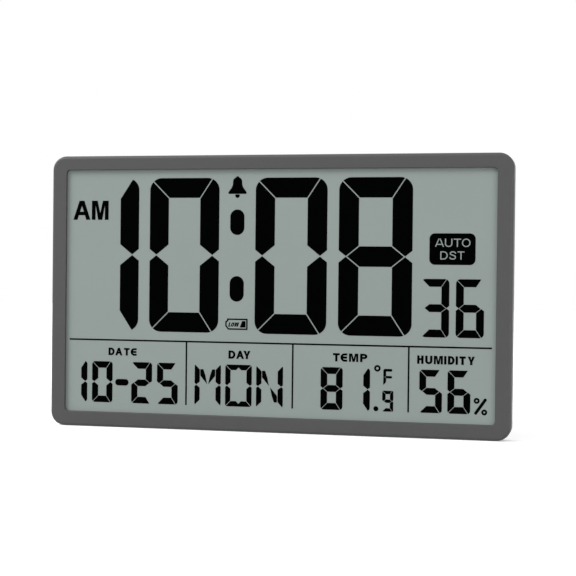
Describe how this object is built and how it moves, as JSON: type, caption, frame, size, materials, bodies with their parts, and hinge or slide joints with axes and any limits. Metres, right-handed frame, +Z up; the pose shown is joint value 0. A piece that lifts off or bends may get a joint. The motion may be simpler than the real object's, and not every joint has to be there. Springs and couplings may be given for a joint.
{
  "type": "thermometer hygrometer clock",
  "caption": "Large flat LCD clock for wall or desk, showing time, seconds, date, day, temperature and humidity in a grey frame, with a fold-out leg and a keyhole hanger.",
  "frame": {"origin": "middle of the bounding box's underside, on the surface that the clock stands on", "axes": "+X to the right as one reads the display, +Y towards the back, +Z up; the display faces -Y"},
  "size_m": [0.364, 0.028, 0.214],
  "materials": {
    "shell_plastic": "fine satin moulding, dark grey",
    "button_plastic": "satin moulding, near black",
    "inner_plastic": "plain moulding",
    "black_foam": "closed cell foam",
    "foot_rubber": "soft rubber",
    "lcd_dark": "dark state of the display",
    "lcd_film": "anti-glare film, greenish grey",
    "lcd_glass": "clear float glass",
    "seal_resin": "cured resin",
    "reflector": "diffuse metallised film",
    "screw_steel": "zinc plated",
    "hanger_steel": "zinc plated sheet and rod",
    "tinned_metal": "tinned",
    "brass": "rolled sheet",
    "sounder_ceramic": "silvered ceramic",
    "circuit_board": "solder resist",
    "black_epoxy": "moulded resin",
    "capacitor_sleeve": "printed sleeve",
    "ribbon_film": "polyimide film",
    "wire_insulation": "extruded insulation",
    "cell_jacket": "plain printed jacket"
  },
  "bodies": {
    "case": {"front_shell": "shell_plastic", "rear_cover": "shell_plastic", "foam_gasket": "black_foam", "lcd_segments": "lcd_dark", "front_polariser": "lcd_film", "lcd_front_glass": "lcd_glass", "lcd_seal": "seal_resin", "lcd_rear_glass": "lcd_glass", "reflector_film": "reflector", "lcd_clamp_frame": "inner_plastic", "clamp_screws": "screw_steel", "display_ribbon": "ribbon_film", "main_pcb": "circuit_board", "pcb_screws": "screw_steel", "controller_chip": "black_epoxy", "quartz_crystal": "tinned_metal", "capacitors": "capacitor_sleeve", "tact_switch_bodies": "black_epoxy", "dst_switch_body": "tinned_metal", "sounder_brass_disc": "brass", "sounder_ceramic_disc": "sounder_ceramic", "sounder_wires": "wire_insulation", "sensor_board": "circuit_board", "humidity_sensor": "black_epoxy", "sensor_wires": "wire_insulation", "battery_cell_upper": "cell_jacket", "battery_cell_lower": "cell_jacket", "battery_springs": "tinned_metal", "battery_contacts": "tinned_metal", "battery_wires": "wire_insulation", "hanger_plate": "hanger_steel", "hanger_screws": "screw_steel", "leg_hinge_pin": "hanger_steel", "case_screws": "screw_steel"},
    "battery_door": {"battery_door": "shell_plastic"},
    "desk_leg": {"desk_leg": "shell_plastic", "leg_foot_pad": "foot_rubber"},
    "mode_button": {"button_mode": "button_plastic", "tact_plunger_mode": "black_epoxy"},
    "set_button": {"button_set": "button_plastic", "tact_plunger_set": "black_epoxy"},
    "up_button": {"button_up": "button_plastic", "tact_plunger_up": "black_epoxy"},
    "down_button": {"button_down": "button_plastic", "tact_plunger_down": "black_epoxy"},
    "alarm_button": {"button_alarm": "button_plastic", "tact_plunger_alarm": "black_epoxy"},
    "dst_switch": {"dst_switch_knob": "button_plastic"}
  },
  "joints": [
    {"name": "battery_door_slide", "type": "slide", "parent": "case", "child": "battery_door", "axis": [1, 0, 0], "range_m": [0, 0.066]},
    {"name": "desk_leg_hinge", "type": "hinge", "parent": "case", "child": "desk_leg", "pos_m": [0, 0.0103, 0.104], "axis": [1, 0, 0], "range_deg": [0, 28]},
    {"name": "mode_press", "type": "slide", "parent": "case", "child": "mode_button", "axis": [0, -1, 0], "range_m": [0, 0.0005], "stiffness_N_per_m": 300, "springref_m": -0.0003},
    {"name": "set_press", "type": "slide", "parent": "case", "child": "set_button", "axis": [0, -1, 0], "range_m": [0, 0.0005], "stiffness_N_per_m": 300, "springref_m": -0.0003},
    {"name": "up_press", "type": "slide", "parent": "case", "child": "up_button", "axis": [0, -1, 0], "range_m": [0, 0.0005], "stiffness_N_per_m": 300, "springref_m": -0.0003},
    {"name": "down_press", "type": "slide", "parent": "case", "child": "down_button", "axis": [0, -1, 0], "range_m": [0, 0.0005], "stiffness_N_per_m": 300, "springref_m": -0.0003},
    {"name": "alarm_press", "type": "slide", "parent": "case", "child": "alarm_button", "axis": [0, -1, 0], "range_m": [0, 0.0005], "stiffness_N_per_m": 300, "springref_m": -0.0003},
    {"name": "dst_switch_slide", "type": "slide", "parent": "case", "child": "dst_switch", "axis": [1, 0, 0], "range_m": [0, 0.002]}
  ]
}
